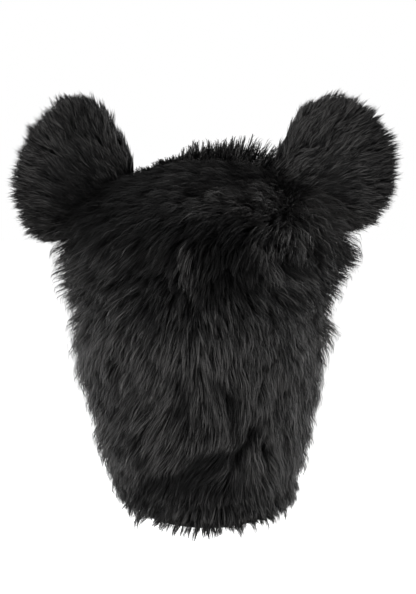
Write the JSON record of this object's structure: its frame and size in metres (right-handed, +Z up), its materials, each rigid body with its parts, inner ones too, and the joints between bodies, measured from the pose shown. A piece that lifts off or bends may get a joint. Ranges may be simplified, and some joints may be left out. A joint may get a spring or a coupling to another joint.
{
  "type": "bear ear hat",
  "caption": "Black long-pile fur hood hat with round padded bear ears, open at the face and neck, with a short fringed neck hem.",
  "frame": {"origin": "inside of the crown's top, where a head carries the hat", "axes": "+Z up, -Y out of the back of the head, +Y out of the face opening, +X to the right seen from behind"},
  "size_m": [0.2929, 0.2299, 0.3209],
  "materials": {
    "black_fur": "long soft pile with a low sheen",
    "backing_fabric": "matt knitted backing"
  },
  "bodies": {
    "root": {"crown_back": "backing_fabric", "face_band": "backing_fabric", "neck_hem": "backing_fabric", "fur_back": "black_fur", "fur_face_band": "black_fur", "fur_neck_hem": "black_fur", "ear_left": "black_fur", "ear_right": "black_fur"}
  },
  "joints": []
}
